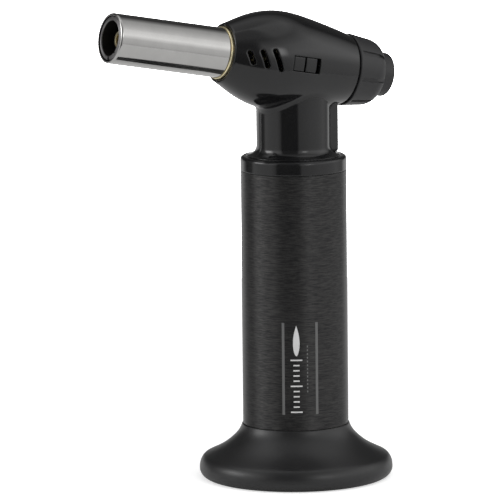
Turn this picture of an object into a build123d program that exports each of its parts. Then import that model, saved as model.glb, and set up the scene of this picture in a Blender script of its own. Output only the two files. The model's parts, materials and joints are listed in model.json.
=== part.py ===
"""Hand-held butane torch on a round foot: a brushed tank, an upright neck and a tilted burner head.

Frame: millimetres, +Z up, origin on the tank's axis at the level of the surface it stands on.
The flame leaves towards -X, the thumb trigger and the flow knob are on the +X side, and the
lock slider is on the -Y side. Everything in the head is placed along the burner's axis, which
crosses the tank's axis at HEAD_Z and rises towards the mouth by HEAD_TILT.
"""

from build123d import *
from math import cos, radians, sin
import os

# ---------------------------------------------------------------- driving dimensions
FOOT_R = 37.9             # widest radius of the foot
FOOT_RIM_Z = 3.6          # height of that widest place
FOOT_TOP = 21.3           # the foot's neck, where the sleeve begins
FOOT_RECESS_R = 31.5      # round recess under the foot
FOOT_RECESS_DEPTH = 7.5
TANK_SEAT = 10.0          # ledge that carries the tank
SLEEVE_R = 20.7           # brushed sleeve
SLEEVE_TOP = 121.6
COLLAR_TOP = 127.1
TANK_R = 19.4             # reservoir inside the sleeve
TANK_WALL = 1.4
NECK_R = 14.5
NECK_FLARE = 3.8          # flare at the bottom of the neck, and fillet under the head
HEAD_Z = 163.4            # where the burner's axis crosses the tank's axis
HEAD_TILT = 10.65         # degrees above level
HEAD_REAR = -22.5         # the head's ends, measured along the burner's axis
HEAD_FRONT = 32.4
SHELL_WALL = 1.9
SEAM = 0.05               # half the parting gap between the two shells
FLAME_TUBE_R = 9.82
FLAME_TUBE_END = 81.6
BURNER_R = 3.6            # brass tip in the mouth
KNOB_R = 14.2             # at the front; the knob narrows to KNOB_REAR_R at its shoulder
KNOB_REAR_R = 13.1
KNOB_SHOULDER = -31.8     # where the shoulder begins and, at the cap's edge, ends
KNOB_CAP_EDGE = -37.0
KNOB_END = -42.0
KNOB_GROOVES = 8
KNOB_GROOVE_TURN = 10.0   # degrees from the top to the first groove, towards the slider
SLIP = 0.05               # radial clearance of a running fit
GAP = 0.3                 # clearance between parts that move past each other
LOCK_TRAVEL = 1.6         # travel of the lock slider

# the trigger's works inside the neck
VALVE_X = -4.0            # axis of the outlet valve
STEM_TOP = 131.3
LEVER_PIVOT = (1.5, 133.0)     # x and z of the lever's pin
LEVER_REACH = 10.5        # from the pin up to where the trigger pushes
IGNITER_Z = 140.4
IGNITER_HALF = 4.0        # half the igniter's square section
IGNITER_FRONT = -7.5
IGNITER_REAR = 4.7
ARM_INNER = 5.0           # the lever's arms lie between these distances from the middle plane
ARM_OUTER = 6.2
TRIGGER_HALF = 7.0
TRIGGER_LOW = 127.9
TRIGGER_HIGH = 148.0
TRIGGER_FACE = 16.6

# ---------------------------------------------------------------- frames of reference
FLAME_DIR = Vector(-cos(radians(HEAD_TILT)), 0, sin(radians(HEAD_TILT)))
HEAD = Plane(origin=(0, 0, HEAD_Z), x_dir=(0, -1, 0), z_dir=FLAME_DIR)
HEAD_SIDE = Plane(origin=(0, 0, HEAD_Z), x_dir=FLAME_DIR, z_dir=(0, 1, 0))
VALVE = Plane(origin=(VALVE_X, 0, 0), x_dir=(1, 0, 0), z_dir=(0, 0, 1))
IGNITER = Plane(origin=(0, 0, IGNITER_Z), x_dir=(0, 1, 0), z_dir=(1, 0, 0))


def on_burner_axis(distance, above=0.0):
    """Point at a distance along the burner's axis and a height square to it."""
    point = HEAD_SIDE.from_local_coords((distance, above, 0))
    return (point.X, point.Y, point.Z)


def turn(*outline, about=Plane.XY, mode=Mode.ADD):
    """Turn a closed outline of (radius, height) points about a plane's own axis."""
    side = Plane(origin=about.origin, x_dir=about.x_dir, z_dir=-about.y_dir)
    with BuildSketch(side) as section:
        with BuildLine():
            Polyline(*outline, close=True)
        make_face()
    revolve(section.sketch, axis=Axis(about.origin, about.z_dir), mode=mode)


def bar(plane, width, height, low, high, centre=(0, 0), corner=0.0, mode=Mode.ADD):
    """Rectangular bar between two heights above a plane, with rounded corners if asked."""
    with BuildSketch(plane.offset(low)) as section:
        with Locations(centre):
            if corner:
                RectangleRounded(width, height, corner)
            else:
                Rectangle(width, height)
    extrude(section.sketch, amount=high - low, mode=mode)


def rod(plane, radius, low, high, centre=(0, 0), mode=Mode.ADD):
    """Round bar, or with Mode.SUBTRACT a bore, between two heights above a plane."""
    with BuildSketch(plane.offset(low)) as section:
        with Locations(centre):
            Circle(radius)
    extrude(section.sketch, amount=high - low, mode=mode)


def coil(plane, radius, wire, low, high, turns):
    """Compression spring of round wire about a plane's axis."""
    height = high - low - wire
    base = plane.offset(low + wire / 2)
    with BuildLine() as path:
        Helix(height / turns, height, radius, center=base.origin, direction=base.z_dir)
    start = path.line @ 0
    with BuildSketch(Plane(origin=start, z_dir=path.line % 0)) as section:
        Circle(wire / 2)
    sweep(section.sketch, path=path.line, is_frenet=True)


os.makedirs("parts", exist_ok=True)

# ================================================================ foot and tank
FOOT_NECK_R = SLEEVE_R + 0.2
FOOT_EDGE_R = 34.6        # edge the foot stands on
FOOT_BROW = (35.5, 8.8)   # radius and height where the rounded rim turns into the hollow flank
BROW_SLOPE = (-0.9, 0.42)
HUB_R = 13.0
HUB_OUTER_R = 22.0
HUB_Z = 8.3               # underside of the ledge and of the ribs
RIB_COUNT = 6
RIB_WIDTH = 1.8

with BuildPart() as stand_base:
    with BuildSketch(Plane.XZ):
        with BuildLine():
            Line((FOOT_RECESS_R, 0), (FOOT_EDGE_R, 0))
            RadiusArc((FOOT_EDGE_R, 0), (FOOT_R, FOOT_RIM_Z), -3.7)
            Spline((FOOT_R, FOOT_RIM_Z), (37.1, 7.2), FOOT_BROW, tangents=((0, 1), BROW_SLOPE))
            Spline(
                FOOT_BROW, (29.0, 12.2), (24.3, 16.0), (FOOT_NECK_R + 0.2, FOOT_TOP - 0.3),
                tangents=(BROW_SLOPE, (-0.3, 0.95)),
            )
            Polyline(
                (FOOT_NECK_R + 0.2, FOOT_TOP - 0.3), (FOOT_NECK_R, FOOT_TOP), (TANK_R + 0.1, FOOT_TOP),
                (TANK_R + 0.1, TANK_SEAT), (HUB_R, TANK_SEAT), (HUB_R, HUB_Z), (HUB_OUTER_R, HUB_Z),
                (HUB_OUTER_R, 14.3), (26.0, 11.2), (FOOT_RECESS_R, FOOT_RECESS_DEPTH), (FOOT_RECESS_R, 0),
            )
        make_face()
    revolve(axis=Axis.Z)
    # stiffening ribs between the hub and the rim, which follow the hollow's ceiling
    for rib in range(RIB_COUNT):
        outward = Vector(1, 0, 0).rotate(Axis.Z, rib * 360 / RIB_COUNT)
        rib_plane = Plane(origin=(0, 0, 0), x_dir=outward, z_dir=outward.cross(Vector(0, 0, 1)))
        with BuildSketch(rib_plane) as rib_side:
            with BuildLine() as rib_edge:
                Polyline(
                    (HUB_OUTER_R - 0.5, HUB_Z), (30.4, HUB_Z), (26.2, 11.6), (HUB_OUTER_R - 0.5, 14.8),
                    close=True,
                )
            make_face(rib_edge.edges())
        extrude(rib_side.sketch, amount=RIB_WIDTH / 2, both=True)
stand_base.part.label = "stand_base"
export_step(stand_base.part, "parts/stand_base.step")

with BuildPart() as tank_sleeve:
    turn(
        (TANK_R + SLIP, FOOT_TOP), (SLEEVE_R - 0.25, FOOT_TOP), (SLEEVE_R, FOOT_TOP + 0.25),
        (SLEEVE_R, SLEEVE_TOP - 0.25), (SLEEVE_R - 0.25, SLEEVE_TOP), (TANK_R + SLIP, SLEEVE_TOP),
    )
tank_sleeve.part.label = "tank_sleeve"
export_step(tank_sleeve.part, "parts/tank_sleeve.step")

TANK_FLOOR = 3.0
PORT_R = 4.0              # threaded hole for either valve

with BuildPart() as gas_tank:
    turn(
        (PORT_R, TANK_SEAT), (TANK_R - 1.0, TANK_SEAT), (TANK_R, TANK_SEAT + 1.0),
        (TANK_R, SLEEVE_TOP), (TANK_R - TANK_WALL, SLEEVE_TOP),
        (TANK_R - TANK_WALL, TANK_SEAT + TANK_FLOOR + 2.0),
        (TANK_R - TANK_WALL - 2.0, TANK_SEAT + TANK_FLOOR), (PORT_R, TANK_SEAT + TANK_FLOOR),
    )
gas_tank.part.label = "gas_tank"
export_step(gas_tank.part, "parts/gas_tank.step")

CAP_TOP = 123.2
CAP_PLUG_R = TANK_R - TANK_WALL - SLIP
SEAL_Z = 119.0            # O-ring groove in the cap

with BuildPart() as tank_top_cap:
    turn(
        (0, 116.5), (CAP_PLUG_R, 116.5), (CAP_PLUG_R, SEAL_Z - 0.9), (CAP_PLUG_R - 1.5, SEAL_Z - 0.9),
        (CAP_PLUG_R - 1.5, SEAL_Z + 0.9), (CAP_PLUG_R, SEAL_Z + 0.9), (CAP_PLUG_R, SLEEVE_TOP),
        (TANK_R, SLEEVE_TOP), (TANK_R, CAP_TOP), (0, CAP_TOP),
    )
    rod(Plane.XY, 6.5, CAP_TOP, CAP_TOP + 0.8, centre=(VALVE_X, 0))
    rod(Plane.XY, PORT_R, 116.0, 125.0, centre=(VALVE_X, 0), mode=Mode.SUBTRACT)
tank_top_cap.part.label = "tank_top_cap"
export_step(tank_top_cap.part, "parts/tank_top_cap.step")

with BuildPart(Plane.XY.offset(SEAL_Z)) as tank_seal:
    Torus(CAP_PLUG_R - 0.73, 0.72)
tank_seal.part.label = "tank_seal"
export_step(tank_seal.part, "parts/tank_seal.step")

COLLAR_R = SLEEVE_R + 0.15
COLLAR_HOLE_R = 13.3
COLLAR_PLATE = 1.9
COLLAR_ROUND = 1.35       # rounding of the upper rim

with BuildPart() as tank_collar:
    turn(
        (TANK_R + 0.1, SLEEVE_TOP), (COLLAR_R, SLEEVE_TOP), (COLLAR_R, COLLAR_TOP),
        (COLLAR_HOLE_R, COLLAR_TOP), (COLLAR_HOLE_R, COLLAR_TOP - COLLAR_PLATE),
        (TANK_R + 0.1, COLLAR_TOP - COLLAR_PLATE),
    )
    rims = tank_collar.edges().filter_by(GeomType.CIRCLE)
    outer_rims = rims.filter_by(lambda rim: rim.radius > COLLAR_R - 0.01).sort_by(Axis.Z)
    fillet(outer_rims[-1], radius=COLLAR_ROUND)
    fillet(outer_rims[0], radius=0.2)
tank_collar.part.label = "tank_collar"
export_step(tank_collar.part, "parts/tank_collar.step")

# ================================================================ refill valve in the tank's floor
REFILL_MOUTH = 8.0
REFILL_CUP_R = 2.15
REFILL_CUP_DEPTH = 3.0
REFILL_STEM_R = 1.0
REFILL_CHAMBER_R = 2.7
REFILL_SEAT = 12.4
REFILL_TOP = 20.0

with BuildPart() as refill_valve_body:
    turn(
        (REFILL_CUP_R, REFILL_MOUTH), (4.6, REFILL_MOUTH), (5.2, REFILL_MOUTH + 0.6), (5.2, TANK_SEAT),
        (PORT_R, TANK_SEAT), (PORT_R, REFILL_TOP), (0.8, REFILL_TOP), (0.8, REFILL_TOP - 1.2),
        (REFILL_CHAMBER_R, REFILL_TOP - 1.2), (REFILL_CHAMBER_R, REFILL_SEAT),
        (REFILL_STEM_R + SLIP, REFILL_SEAT), (REFILL_STEM_R + SLIP, REFILL_MOUTH + REFILL_CUP_DEPTH),
        (REFILL_CUP_R, REFILL_MOUTH + REFILL_CUP_DEPTH),
    )
refill_valve_body.part.label = "refill_valve_body"
export_step(refill_valve_body.part, "parts/refill_valve_body.step")

with BuildPart() as refill_valve_stem:
    turn(
        (0, 11.1), (REFILL_STEM_R - 0.2, 11.1), (REFILL_STEM_R, 11.3), (REFILL_STEM_R, 13.7), (2.1, 13.7),
        (2.1, 14.6), (REFILL_STEM_R, 14.6), (REFILL_STEM_R, 16.4), (0, 16.4),
    )
refill_valve_stem.part.label = "refill_valve_stem"
export_step(refill_valve_stem.part, "parts/refill_valve_stem.step")

with BuildPart() as refill_valve_seal:
    turn((1.35, REFILL_SEAT), (2.6, REFILL_SEAT), (2.6, 13.6), (1.35, 13.6))
refill_valve_seal.part.label = "refill_valve_seal"
export_step(refill_valve_seal.part, "parts/refill_valve_seal.step")

with BuildPart() as refill_valve_spring:
    coil(Plane.XY, 1.75, 0.4, 14.65, REFILL_TOP - 1.25, turns=4)
refill_valve_spring.part.label = "refill_valve_spring"
export_step(refill_valve_spring.part, "parts/refill_valve_spring.step")

# ================================================================ outlet valve in the tank's cap
OUTLET_CHAMBER_R = 2.8
OUTLET_STEM_R = 1.5
OUTLET_NECK = 124.0       # top of the threaded part
OUTLET_TOP = 128.6
NIPPLE_Z = 126.4
NIPPLE_END = -9.4
TUBE_OUTER_R = 1.1        # gas tube between the two valves

with BuildPart() as outlet_valve_body:
    turn(
        (1.0, 108.0), (PORT_R - 1.0, 108.0), (PORT_R, 109.0), (PORT_R, OUTLET_NECK), (5.0, OUTLET_NECK),
        (5.0, OUTLET_TOP - 0.6), (4.4, OUTLET_TOP), (OUTLET_STEM_R + SLIP, OUTLET_TOP),
        (OUTLET_STEM_R + SLIP, 123.0), (OUTLET_CHAMBER_R, 123.0), (OUTLET_CHAMBER_R, 111.0), (1.0, 111.0),
        about=VALVE,
    )
    rod(Plane.YZ, 1.8, NIPPLE_END, VALVE_X - 3.5, centre=(0, NIPPLE_Z))
    rod(Plane.YZ, TUBE_OUTER_R, NIPPLE_END, NIPPLE_END + 1.3, centre=(0, NIPPLE_Z), mode=Mode.SUBTRACT)
outlet_valve_body.part.label = "outlet_valve_body"
export_step(outlet_valve_body.part, "parts/outlet_valve_body.step")

with BuildPart() as outlet_valve_stem:
    turn(
        (0, 117.2), (1.2, 117.2), (1.2, 119.9), (2.4, 119.9), (2.4, 121.3), (OUTLET_STEM_R, 121.3),
        (OUTLET_STEM_R, 130.3), (0.8, 130.8), (0.8, STEM_TOP), (0, STEM_TOP),
        about=VALVE,
    )
outlet_valve_stem.part.label = "outlet_valve_stem"
export_step(outlet_valve_stem.part, "parts/outlet_valve_stem.step")

with BuildPart() as outlet_valve_seal:
    turn((1.85, 121.4), (2.75, 121.4), (2.75, 123.0), (1.85, 123.0), about=VALVE)
outlet_valve_seal.part.label = "outlet_valve_seal"
export_step(outlet_valve_seal.part, "parts/outlet_valve_seal.step")

with BuildPart() as outlet_valve_spring:
    coil(VALVE, 2.0, 0.4, 111.05, 119.85, turns=6)
outlet_valve_spring.part.label = "outlet_valve_spring"
export_step(outlet_valve_spring.part, "parts/outlet_valve_spring.step")

with BuildPart() as pickup_tube:
    turn((0.6, 21.0), (0.95, 21.0), (0.95, 110.9), (0.6, 110.9), about=VALVE)
pickup_tube.part.label = "pickup_tube"
export_step(pickup_tube.part, "parts/pickup_tube.step")

# ================================================================ outer shells of the neck and head
HEAD_FRONT_WALL = 2.4
HEAD_REAR_WALL = 2.0
MOUTH_R = 10.6            # opening in the head's nose
REAR_HOLE_R = 6.2
SPIGOT_R = 13.2           # the part of the neck that goes down through the collar
SPIGOT_LIP_R = 15.5
SPIGOT_LOW = 123.4
NECK_BORE_R = NECK_R - SHELL_WALL


def head_outline(inset, rear, front):
    """Half section of the head, kept inside the outer skin by inset and cut off at rear and front."""
    with BuildLine() as half:
        skin = Spline(
            (HEAD_REAR, 13.7 - inset), (-6.0, 17.5 - inset), (10.0, 19.3 - inset),
            (23.0, 16.1 - inset), (HEAD_FRONT, 11.6 - inset),
            tangents=((1, 0.28), (1, -0.45)),
        )
        Line(skin @ 0, (HEAD_REAR, 0))
        Line((HEAD_REAR, 0), (HEAD_FRONT, 0))
        Line((HEAD_FRONT, 0), skin @ 1)
    make_face(half.edges())
    with Locations(((rear + front) / 2, 0)):
        Rectangle(front - rear, 60, mode=Mode.INTERSECT)


SCREW_PLACES = [(22.0, 10.4), (20.0, -10.8), (-14.0, 9.6), (-14.5, -9.6)]     # along and above the axis
SCREW_BOSS_R = 3.2
SCREW_HEAD_R = 2.1
SCREW_SHANK_R = 1.1
SCREW_SEAT_Y = 4.6
LEVER_BOSS_R = 2.4
LEVER_PIN_R = 1.0
LEVER_PIN_HALF = 10.4
BRACKET_HALF = 5.4        # the igniter's bracket reaches this far above and below its axis

VENT_COUNT = 3
VENT_FIRST = 26.4         # places and lengths of the air slots, from the nose backwards
VENT_PITCH = 4.9
VENT_ABOVE = 0.35         # the first slot's middle lies this far above the burner's axis
VENT_RISE = 0.22
VENT_FIRST_LENGTH = 5.9
VENT_GROWTH = 1.75
VENT_WIDTH = 2.1
VENT_LEAN = 25.0          # degrees, top towards the nose

WINDOW_REAR = -2.2        # opening for the lock slider
WINDOW_FRONT = 10.4
WINDOW_LOW = -2.45
WINDOW_HIGH = 3.6

OUTSIDE = 30.0            # clear of the skin on either side, for cuts that go right through
WEB = 1.4                 # cradles for the valve block and the mixing tube
FREE_HEIGHT = 10.0        # the trigger's opening is free to the rear over this height
REAR_WEB = -11.5
FRONT_WEB = 12.6

with BuildPart() as outer_form:
    with BuildSketch(HEAD_SIDE):
        head_outline(0, HEAD_REAR, HEAD_FRONT)
    revolve(axis=Axis(HEAD.origin, HEAD.z_dir))
    FLARE_LOW = COLLAR_TOP + 0.35
    with BuildSketch(Plane.XZ):
        with BuildLine():
            Polyline((0, COLLAR_TOP), (NECK_R + NECK_FLARE, COLLAR_TOP), (NECK_R + NECK_FLARE, FLARE_LOW))
            RadiusArc((NECK_R + NECK_FLARE, FLARE_LOW), (NECK_R, FLARE_LOW + NECK_FLARE), NECK_FLARE)
            Polyline((NECK_R, FLARE_LOW + NECK_FLARE), (NECK_R, HEAD_Z), (0, HEAD_Z), (0, COLLAR_TOP))
        make_face()
    revolve(axis=Axis.Z)
    saddle = outer_form.edges().filter_by(GeomType.BSPLINE).sort_by(Axis.Z)[0]
    fillet(saddle, radius=NECK_FLARE - 0.3)
    nose_rim = outer_form.edges().filter_by(GeomType.CIRCLE).sort_by(Axis.X)[0]
    fillet(nose_rim, radius=0.9)

with BuildPart() as cavity:
    with BuildSketch(HEAD_SIDE):
        head_outline(SHELL_WALL, HEAD_REAR + HEAD_REAR_WALL, HEAD_FRONT - HEAD_FRONT_WALL)
    revolve(axis=Axis(HEAD.origin, HEAD.z_dir))
    rod(Plane.XY, NECK_BORE_R, SPIGOT_LOW - 1, HEAD_Z)
    # screw bosses
    for along, above in SCREW_PLACES:
        rod(HEAD_SIDE, SCREW_BOSS_R, -OUTSIDE, OUTSIDE, centre=(along, above), mode=Mode.SUBTRACT)
    # bosses for the ends of the lever's pin, and the bracket that the igniter sits in
    for side in (-1, 1):
        start, end = sorted((side * (ARM_OUTER + 0.8), side * OUTSIDE))
        rod(Plane.XZ, LEVER_BOSS_R, start, end, centre=LEVER_PIVOT, mode=Mode.SUBTRACT)
        bar(
            Plane.XY, 1.6, 12.0, IGNITER_Z - BRACKET_HALF, IGNITER_Z + BRACKET_HALF,
            centre=(IGNITER_FRONT - 0.9, side * 8.2), mode=Mode.SUBTRACT,
        )
        for low in (IGNITER_Z - BRACKET_HALF, IGNITER_Z + IGNITER_HALF + 0.1):
            bar(
                Plane.XY, 1.8, 12.0, low, low + BRACKET_HALF - IGNITER_HALF - 0.1,
                centre=(IGNITER_FRONT + 0.6, side * 8.2), mode=Mode.SUBTRACT,
            )

# cross walls inside the shells that hold the burner's parts on the axis
with BuildPart() as webs:
    bar(HEAD, 40, 26, REAR_WEB, REAR_WEB + WEB, centre=(0, 5.0))
    rod(HEAD, 6.05, REAR_WEB - 1, REAR_WEB + WEB + 1, mode=Mode.SUBTRACT)
    bar(HEAD, 40, 24, FRONT_WEB, FRONT_WEB + WEB, centre=(0, 8.4))
    rod(HEAD, 3.25, FRONT_WEB - 1, FRONT_WEB + WEB + 1, mode=Mode.SUBTRACT)

with BuildPart() as housing:
    add(outer_form.part)
    add(cavity.part - webs.part, mode=Mode.SUBTRACT)
    # spigot and lip that hook under the collar's plate
    turn(
        (NECK_BORE_R, SPIGOT_LOW), (SPIGOT_LIP_R, SPIGOT_LOW), (SPIGOT_LIP_R, SPIGOT_LOW + 1.3),
        (SPIGOT_R, SPIGOT_LOW + 1.3), (SPIGOT_R, COLLAR_TOP), (NECK_BORE_R, COLLAR_TOP),
    )
    rod(HEAD, MOUTH_R, HEAD_FRONT - HEAD_FRONT_WALL - 1, HEAD_FRONT + 1, mode=Mode.SUBTRACT)
    rod(HEAD, REAR_HOLE_R, HEAD_REAR - 1, HEAD_REAR + HEAD_REAR_WALL + 1, mode=Mode.SUBTRACT)
    # opening for the trigger, whose top end tucks into a pocket under the head
    opening_width = 2 * (TRIGGER_HALF + GAP)
    bar(
        Plane.YZ, opening_width, TRIGGER_HIGH - TRIGGER_LOW + 2 * GAP, 8.0, TRIGGER_FACE + GAP,
        centre=(0, (TRIGGER_LOW + TRIGGER_HIGH) / 2), corner=1.6, mode=Mode.SUBTRACT,
    )
    bar(
        Plane.YZ, opening_width, FREE_HEIGHT, 8.0, 25.0, centre=(0, TRIGGER_LOW - GAP + FREE_HEIGHT / 2),
        corner=1.6, mode=Mode.SUBTRACT,
    )
    # air slots, the same on both sides
    with BuildSketch(HEAD_SIDE):
        for slot in range(VENT_COUNT):
            with Locations((VENT_FIRST - slot * VENT_PITCH, VENT_ABOVE + slot * VENT_RISE)):
                SlotOverall(VENT_FIRST_LENGTH + slot * VENT_GROWTH, VENT_WIDTH, rotation=90 - VENT_LEAN)
    extrude(amount=OUTSIDE, both=True, mode=Mode.SUBTRACT)

with BuildPart() as shell_left:
    add(housing.part)
    bar(Plane.XZ, 200, 400, SEAM, 100, mode=Mode.INTERSECT)
    window_centre = ((WINDOW_REAR + WINDOW_FRONT) / 2, (WINDOW_LOW + WINDOW_HIGH) / 2)
    bar(
        HEAD_SIDE, WINDOW_FRONT - WINDOW_REAR, WINDOW_HIGH - WINDOW_LOW, -OUTSIDE, -10.0,
        centre=window_centre, mode=Mode.SUBTRACT,
    )
    for along, above in SCREW_PLACES:
        rod(HEAD_SIDE, SCREW_SHANK_R, -6.5, 1.0, centre=(along, above), mode=Mode.SUBTRACT)
    rod(Plane.XZ, LEVER_PIN_R, 0, LEVER_PIN_HALF + SLIP, centre=LEVER_PIVOT, mode=Mode.SUBTRACT)
shell_left.part.label = "shell_left"
export_step(shell_left.part, "parts/shell_left.step")

with BuildPart() as shell_right:
    add(housing.part)
    bar(Plane.XZ, 200, 400, -100, -SEAM, mode=Mode.INTERSECT)
    for along, above in SCREW_PLACES:
        rod(HEAD_SIDE, SCREW_SHANK_R + 0.15, -1.0, SCREW_SEAT_Y, centre=(along, above), mode=Mode.SUBTRACT)
        rod(HEAD_SIDE, SCREW_HEAD_R + 0.2, SCREW_SEAT_Y, OUTSIDE, centre=(along, above), mode=Mode.SUBTRACT)
    rod(Plane.XZ, LEVER_PIN_R, -LEVER_PIN_HALF - SLIP, 0, centre=LEVER_PIVOT, mode=Mode.SUBTRACT)
shell_right.part.label = "shell_right"
export_step(shell_right.part, "parts/shell_right.step")

with BuildPart() as housing_screws:
    for along, above in SCREW_PLACES:
        rod(HEAD_SIDE, SCREW_SHANK_R, -5.5, SCREW_SEAT_Y, centre=(along, above))
        rod(HEAD_SIDE, SCREW_HEAD_R, SCREW_SEAT_Y, SCREW_SEAT_Y + 1.7, centre=(along, above))
        for width, height in ((2.6, 0.6), (0.6, 2.6)):
            bar(
                HEAD_SIDE, width, height, SCREW_SEAT_Y + 0.8, SCREW_SEAT_Y + 2, centre=(along, above),
                mode=Mode.SUBTRACT,
            )
housing_screws.part.label = "housing_screws"
export_step(housing_screws.part, "parts/housing_screws.step")

# ================================================================ trigger, igniter and valve lever
TRIGGER_MID = (TRIGGER_LOW + TRIGGER_HIGH) / 2
TRIGGER_TALL = TRIGGER_HIGH - TRIGGER_LOW
TRIGGER_WALL = 1.6
TRIGGER_BACK = 8.2
LIP_HALF = 7.8
PUSH_X = 9.6              # where the trigger meets the igniter's plunger
PUSHER_X = 3.4            # front ends of the ribs that push the lever, and their height
PUSHER_Z = 143.75

with BuildPart() as trigger:
    bar(
        Plane.YZ, 2 * TRIGGER_HALF, TRIGGER_TALL, TRIGGER_BACK, TRIGGER_FACE,
        centre=(0, TRIGGER_MID), corner=1.3,
    )
    fillet(trigger.faces().sort_by(Axis.X)[-1].edges(), radius=1.0)
    bar(Plane.YZ, 2 * LIP_HALF, TRIGGER_TALL - 1.0, TRIGGER_BACK, 9.3, centre=(0, TRIGGER_MID))
    bar(
        Plane.YZ, 2 * (TRIGGER_HALF - TRIGGER_WALL), TRIGGER_TALL - 2 * TRIGGER_WALL,
        TRIGGER_BACK, TRIGGER_FACE - 2.0, centre=(0, TRIGGER_MID), mode=Mode.SUBTRACT,
    )
    rod(IGNITER, 3.7, PUSH_X, TRIGGER_FACE - 1.5)
    for side in (-1, 1):
        bar(
            Plane.YZ, ARM_OUTER - ARM_INNER, 2.3, PUSHER_X, TRIGGER_FACE - 1.5,
            centre=(side * (ARM_INNER + ARM_OUTER) / 2, PUSHER_Z),
        )
trigger.part.label = "trigger"
export_step(trigger.part, "parts/trigger.step")

PLUNGER_R = 2.4

with BuildPart() as igniter_body:
    bar(
        Plane.YZ, 2 * IGNITER_HALF, 2 * IGNITER_HALF, IGNITER_FRONT, IGNITER_REAR,
        centre=(0, IGNITER_Z), corner=0.8,
    )
    rod(IGNITER, PLUNGER_R + SLIP, -2.6, IGNITER_REAR + 1, mode=Mode.SUBTRACT)
igniter_body.part.label = "igniter_body"
export_step(igniter_body.part, "parts/igniter_body.step")

with BuildPart() as igniter_plunger:
    rod(IGNITER, PLUNGER_R, 1.2, PUSH_X)
igniter_plunger.part.label = "igniter_plunger"
export_step(igniter_plunger.part, "parts/igniter_plunger.step")

with BuildPart() as trigger_spring:
    coil(IGNITER, 3.2, 0.5, IGNITER_REAR + 0.05, PUSH_X - 0.05, turns=3)
trigger_spring.part.label = "trigger_spring"
export_step(trigger_spring.part, "parts/trigger_spring.step")

with BuildPart() as valve_lever:
    pivot_x, pivot_z = LEVER_PIVOT
    with BuildSketch(Plane.XZ) as lever_side:
        with Locations(LEVER_PIVOT):
            Circle(2.2)
        with Locations((pivot_x, pivot_z + LEVER_REACH / 2)):
            Rectangle(3.0, LEVER_REACH)
        with Locations((-2.0, 132.6)):
            Rectangle(7.0, 2.0)
    extrude(amount=ARM_OUTER, both=True)
    bar(Plane.XZ, 40, 60, -ARM_INNER, ARM_INNER, centre=(0, 140), mode=Mode.SUBTRACT)
    bar(Plane.XZ, 3.0, 1.6, -ARM_OUTER, ARM_OUTER, centre=(VALVE_X, 132.4))
    rod(Plane.XZ, LEVER_PIN_R + SLIP, -ARM_OUTER - 1, ARM_OUTER + 1, centre=LEVER_PIVOT, mode=Mode.SUBTRACT)
valve_lever.part.label = "valve_lever"
export_step(valve_lever.part, "parts/valve_lever.step")

with BuildPart() as lever_pin:
    rod(Plane.XZ, LEVER_PIN_R, -LEVER_PIN_HALF, LEVER_PIN_HALF, centre=LEVER_PIVOT)
lever_pin.part.label = "lever_pin"
export_step(lever_pin.part, "parts/lever_pin.step")

# ================================================================ lock slider in the left shell
SLIDER_TOP_Y = -14.4      # the flange that stays behind the shell's wall starts here
SLIDER_GRIP = 5.1         # thumb groove across the slider

with BuildPart() as lock_slider:
    with BuildSketch(HEAD_SIDE):
        head_outline(0.2, WINDOW_REAR - 1, WINDOW_FRONT + 1)
    revolve(axis=Axis(HEAD.origin, HEAD.z_dir))
    slider_rear = WINDOW_REAR + LOCK_TRAVEL + GAP
    slider_front = WINDOW_FRONT - GAP
    slider_centre = ((slider_rear + slider_front) / 2, (WINDOW_LOW + WINDOW_HIGH) / 2)
    bar(
        HEAD_SIDE, slider_front - slider_rear, WINDOW_HIGH - WINDOW_LOW - 2 * GAP,
        -OUTSIDE, SLIDER_TOP_Y + 0.6, centre=slider_centre, mode=Mode.INTERSECT,
    )
    bar(HEAD_SIDE, 13.2, 8.3, SLIDER_TOP_Y, SLIDER_TOP_Y + 1.4, centre=(4.8, 0.55))
    bar(HEAD_SIDE, 0.9, 20, -OUTSIDE, -17.7, centre=(SLIDER_GRIP, 0), mode=Mode.SUBTRACT)
lock_slider.part.label = "lock_slider"
export_step(lock_slider.part, "parts/lock_slider.step")

# ================================================================ gas line, needle valve and knob
INLET = Plane(origin=on_burner_axis(-4.5), x_dir=(0, 1, 0), z_dir=-HEAD_SIDE.y_dir)
SPINDLE_R = 1.5
KNOB_FRONT = HEAD_REAR - 0.4
CAP_ROUND = 1.2
CAP_R = 7.05              # end cap let into the knob's rear face
CAP_SEAT = KNOB_END + 1.1
GLAND_REAR = -22.0
BLOCK_REAR = -18.0
BLOCK_FRONT = 4.0

with BuildPart() as valve_block:
    turn(
        (SPINDLE_R + SLIP, BLOCK_REAR), (6.0, BLOCK_REAR), (6.0, -3.5), (4.2, -2.5), (4.2, BLOCK_FRONT),
        (1.8, BLOCK_FRONT), (1.8, 0.5), (0.8, 0.5), (0.8, -6.5), (SPINDLE_R + SLIP, -6.5),
        about=HEAD,
    )
    rod(INLET, 2.0, 5.5, 8.6)
    rod(INLET, TUBE_OUTER_R, 7.0, 9.0, mode=Mode.SUBTRACT)
    rod(INLET, 0.6, 0, 7.5, mode=Mode.SUBTRACT)
valve_block.part.label = "valve_block"
export_step(valve_block.part, "parts/valve_block.step")

with BuildPart() as gland_nut:
    with BuildSketch(HEAD.offset(GLAND_REAR)):
        RegularPolygon(5.0, 6)
    extrude(amount=BLOCK_REAR - GLAND_REAR)
    rod(HEAD, SPINDLE_R + SLIP, GLAND_REAR - 1, BLOCK_REAR + 1, mode=Mode.SUBTRACT)
    rod(HEAD, 3.1, BLOCK_REAR - 1.6, BLOCK_REAR, mode=Mode.SUBTRACT)
gland_nut.part.label = "gland_nut"
export_step(gland_nut.part, "parts/gland_nut.step")

with BuildPart(HEAD.offset(BLOCK_REAR - 0.8)) as spindle_seal:
    Torus(2.32, 0.74)
spindle_seal.part.label = "spindle_seal"
export_step(spindle_seal.part, "parts/spindle_seal.step")

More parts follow.
